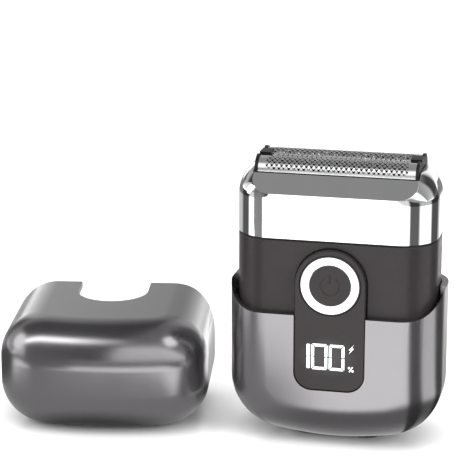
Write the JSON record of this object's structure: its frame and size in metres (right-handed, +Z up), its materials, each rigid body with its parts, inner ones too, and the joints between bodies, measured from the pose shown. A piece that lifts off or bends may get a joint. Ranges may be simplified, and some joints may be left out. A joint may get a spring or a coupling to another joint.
{
  "type": "electric shaver",
  "caption": "Pocket foil shaver with a metallic lower shell, chromed head, push button with a glowing ring, lift-off foil cassette and separate travel cap.",
  "frame": {"origin": "middle of the foot that the shaver stands on, at the surface it stands on", "axes": "+Z up from the foot to the foils, the button side faces -Y, +X to the right of a person who faces the button; the cap lies on the same surface at -X"},
  "size_m": [0.1306, 0.0513, 0.0809],
  "materials": {
    "graphite_paint": "satin metallic",
    "rubber": "matte",
    "dark_plastic": "satin",
    "light_diffuser": "glowing white",
    "chrome": "mirror",
    "black_plastic": "matte",
    "foil_steel": "fine perforated",
    "blade_steel": "ground",
    "grey_plastic": "matte",
    "can_steel": "plated",
    "brass": "turned",
    "circuit_board": "solder mask",
    "cell_sleeve": "shrink sleeve"
  },
  "bodies": {
    "body": {"lower_shell": "graphite_paint", "base_foot": "rubber", "mid_housing": "dark_plastic", "head_gasket": "rubber", "head_shell": "chrome", "control_panel": "dark_plastic", "light_ring": "light_diffuser", "main_board": "circuit_board", "display_module": "black_plastic", "button_switch": "black_plastic", "charging_socket": "can_steel", "socket_tongue": "black_plastic", "charging_board": "circuit_board", "battery_cell": "cell_sleeve", "chassis": "grey_plastic", "motor_end_bell": "black_plastic", "motor_can": "can_steel", "motor_deck": "grey_plastic", "guide_rod_front": "blade_steel", "guide_rod_rear": "blade_steel", "deck_screw_1": "blade_steel", "deck_screw_2": "blade_steel", "deck_screw_3": "blade_steel", "deck_screw_4": "blade_steel"},
    "button": {"power_button": "dark_plastic"},
    "crank": {"motor_shaft": "blade_steel", "crank_hub": "brass"},
    "bridge": {"drive_bridge": "grey_plastic", "trimmer_blade": "blade_steel", "cutter_spring_front_left": "blade_steel", "cutter_spring_front_right": "blade_steel", "cutter_spring_rear_left": "blade_steel", "cutter_spring_rear_right": "blade_steel"},
    "cutter_front": {"cutter_carrier_front": "black_plastic", "cutter_blades_front": "blade_steel"},
    "cutter_rear": {"cutter_carrier_rear": "black_plastic", "cutter_blades_rear": "blade_steel"},
    "cassette": {"cassette_frame": "black_plastic", "end_cap_left": "black_plastic", "end_cap_right": "black_plastic", "foil_front": "foil_steel", "foil_rear": "foil_steel", "trimmer_comb": "foil_steel"},
    "cap": {"cap_shell": "graphite_paint"}
  },
  "joints": [
    {"name": "button_press", "type": "slide", "parent": "body", "child": "button", "axis": [0, 1, 0], "range_m": [0, 0.0005], "stiffness_N_per_m": 600, "springref_m": -0.0005},
    {"name": "motor_spin", "type": "hinge", "parent": "body", "child": "crank", "pos_m": [0, 0, 0.055], "axis": [0, 0, 1], "continuous": true},
    {"name": "bridge_stroke", "type": "slide", "parent": "body", "child": "bridge", "axis": [1, 0, 0], "range_m": [-0.0012, 0.0012]},
    {"name": "cutter_float_front", "type": "slide", "parent": "bridge", "child": "cutter_front", "axis": [0, 0, -1], "range_m": [0, 0.001], "stiffness_N_per_m": 500, "springref_m": -0.001, "deforming": ["cutter_spring_front_left", "cutter_spring_front_right"]},
    {"name": "cutter_float_rear", "type": "slide", "parent": "bridge", "child": "cutter_rear", "axis": [0, 0, -1], "range_m": [0, 0.001], "stiffness_N_per_m": 500, "springref_m": -0.001, "deforming": ["cutter_spring_rear_left", "cutter_spring_rear_right"]},
    {"name": "cassette_lift", "type": "slide", "parent": "body", "child": "cassette", "axis": [0, 0, 1], "range_m": [0, 0.02]},
    {"name": "cap_lift", "type": "slide", "parent": "body", "child": "cap", "axis": [0, 0, 1], "range_m": [0, 0.06]}
  ]
}
